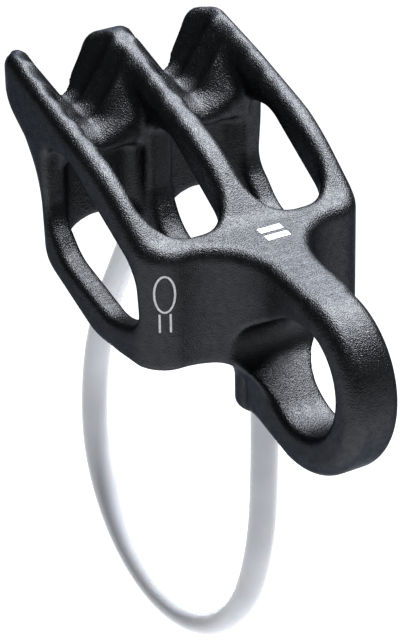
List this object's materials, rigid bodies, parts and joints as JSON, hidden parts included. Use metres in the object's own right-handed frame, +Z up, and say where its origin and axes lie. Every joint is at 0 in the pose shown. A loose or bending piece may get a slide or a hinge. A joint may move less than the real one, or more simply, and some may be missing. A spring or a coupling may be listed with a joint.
{
  "type": "belay device",
  "caption": "Tube-style rope belay device with V notches, wall windows, an anchor eye and a sheathed keeper loop.",
  "frame": {"origin": "centre of the anchor eye's hole", "axes": "+X out of the eye's nose, +Y across the rope slots along the eye's bore, +Z up with the keeper loop hanging below"},
  "size_m": [0.0916, 0.0454, 0.1109],
  "materials": {
    "anodised_body": "hot-forged, blasted and anodised blue-black",
    "sheath": "glossy translucent white",
    "steel_core": "stranded wire",
    "ferrule": "crimped, bare",
    "laser_mark": "pale laser marking"
  },
  "bodies": {
    "device_body": {"forged_body": "anodised_body", "front_ferrule": "ferrule", "rear_ferrule": "ferrule"},
    "keeper_loop": {"keeper_sheath": "sheath", "keeper_core": "steel_core"}
  },
  "joints": [
    {"name": "keeper_swing", "type": "hinge", "parent": "device_body", "child": "keeper_loop", "pos_m": [-0.0165, 0, -0.012], "axis": [-0.8814, 0, 0.4723], "range_deg": [-20, 20]}
  ]
}
